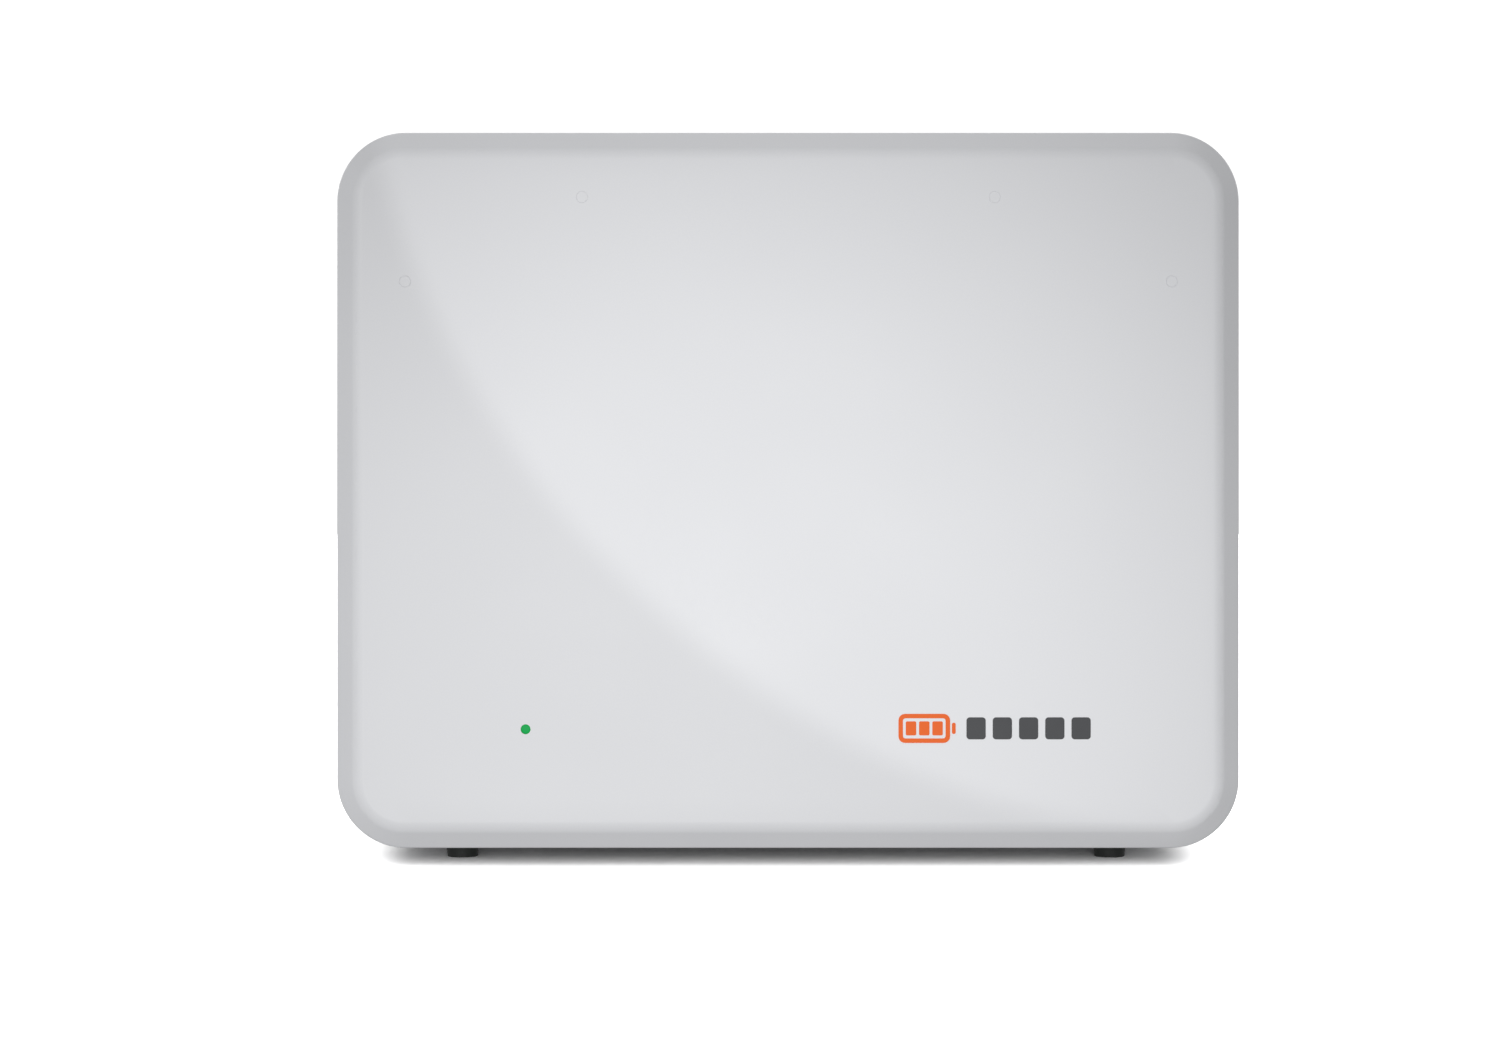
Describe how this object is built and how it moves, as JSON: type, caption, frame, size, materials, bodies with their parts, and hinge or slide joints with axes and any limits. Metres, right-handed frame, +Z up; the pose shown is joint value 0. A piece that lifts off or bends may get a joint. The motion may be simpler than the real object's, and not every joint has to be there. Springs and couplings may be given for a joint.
{
  "type": "wall battery unit",
  "caption": "Compact wall-hung home battery: a rounded pull-off cover over a steel pan of flat cells, a small inverter, a rotary isolator and a hook-on wall plate.",
  "frame": {"origin": "on the floor under the feet, at the middle of the width and of the depth", "axes": "+X to the right seen from the front, +Y towards the wall, +Z up"},
  "size_m": [0.39, 0.22, 0.325],
  "materials": {
    "cover_plastic": "moulded light grey, satin, fine even texture",
    "status_green": "clear light pipe and lamp, lit green",
    "chassis_paint": "dark grey powder coat on folded steel sheet",
    "trim_black": "moulded black, fine texture",
    "rubber_black": "moulded black rubber",
    "clear_sheet": "clear polycarbonate sheet",
    "zinc_steel": "bright zinc plate on steel",
    "aluminium_plate": "milled aluminium",
    "copper_bar": null,
    "cell_wrap": "blue film over an aluminium can",
    "circuit_board": "green solder mask with its components",
    "red_sleeve": "red silicone cable sleeve",
    "black_sleeve": "black cable sleeve and moulded connector plastic",
    "grey_case": "grey painted cast aluminium",
    "grey_plastic": "grey moulded plastic",
    "knob_orange": "orange moulded plastic",
    "insulator": "off-white insulating board"
  },
  "bodies": {
    "chassis": {"base_pan": "chassis_paint", "front_frame": "chassis_paint", "safety_screen": "clear_sheet", "trim_frame": "trim_black", "frame_screw_1": "zinc_steel", "frame_screw_2": "zinc_steel", "frame_screw_3": "zinc_steel", "frame_screw_4": "zinc_steel", "post_grommet_1": "rubber_black", "post_grommet_2": "rubber_black", "post_grommet_3": "rubber_black", "post_grommet_4": "rubber_black", "cell_1": "cell_wrap", "cell_2": "cell_wrap", "cell_3": "cell_wrap", "cell_4": "cell_wrap", "cell_5": "cell_wrap", "cell_6": "cell_wrap", "cell_7": "cell_wrap", "cell_8": "cell_wrap", "busbar_1": "copper_bar", "busbar_2": "copper_bar", "busbar_3": "copper_bar", "busbar_4": "copper_bar", "busbar_5": "copper_bar", "busbar_6": "copper_bar", "busbar_7": "copper_bar", "cell_spacer": "insulator", "module_bottom_plate": "aluminium_plate", "module_top_plate": "aluminium_plate", "tie_band": "zinc_steel", "management_board": "circuit_board", "status_led": "status_green", "fuse_block": "grey_plastic", "microinverter": "grey_case", "dc_switch_body": "black_sleeve", "dc_switch_plate": "trim_black", "ac_in_socket": "black_sleeve", "ac_out_socket": "black_sleeve", "positive_lead": "red_sleeve", "negative_lead": "black_sleeve", "fuse_lead": "red_sleeve", "inverter_dc_lead": "red_sleeve", "inverter_ac_lead": "black_sleeve", "coupling_lead": "black_sleeve", "sense_harness": "grey_plastic", "foot_front_left": "rubber_black", "foot_front_right": "rubber_black", "foot_rear_left": "rubber_black", "foot_rear_right": "rubber_black", "rear_bumper_left": "rubber_black", "rear_bumper_right": "rubber_black", "hanging_rail": "zinc_steel", "rail_screw_1": "zinc_steel", "rail_screw_2": "zinc_steel"},
    "cover": {"front_cover": "cover_plastic", "light_pipe": "status_green"},
    "isolator_knob": {"dc_switch_knob": "knob_orange"},
    "socket_cap": {"sealing_cap": "rubber_black"},
    "wall_bracket": {"wall_plate": "zinc_steel"}
  },
  "joints": [
    {"name": "cover_pull", "type": "slide", "parent": "chassis", "child": "cover", "axis": [0, -1, 0], "range_m": [0, 0.16]},
    {"name": "isolator_turn", "type": "hinge", "parent": "chassis", "child": "isolator_knob", "pos_m": [-0.185, 0.07, 0.062], "axis": [-1, 0, 0], "range_deg": [0, 90]},
    {"name": "cap_pull", "type": "slide", "parent": "chassis", "child": "socket_cap", "axis": [1, 0, 0], "range_m": [0, 0.03]},
    {"name": "bracket_drop", "type": "slide", "parent": "chassis", "child": "wall_bracket", "axis": [0, 0, -1], "range_m": [0, 0.025]}
  ]
}
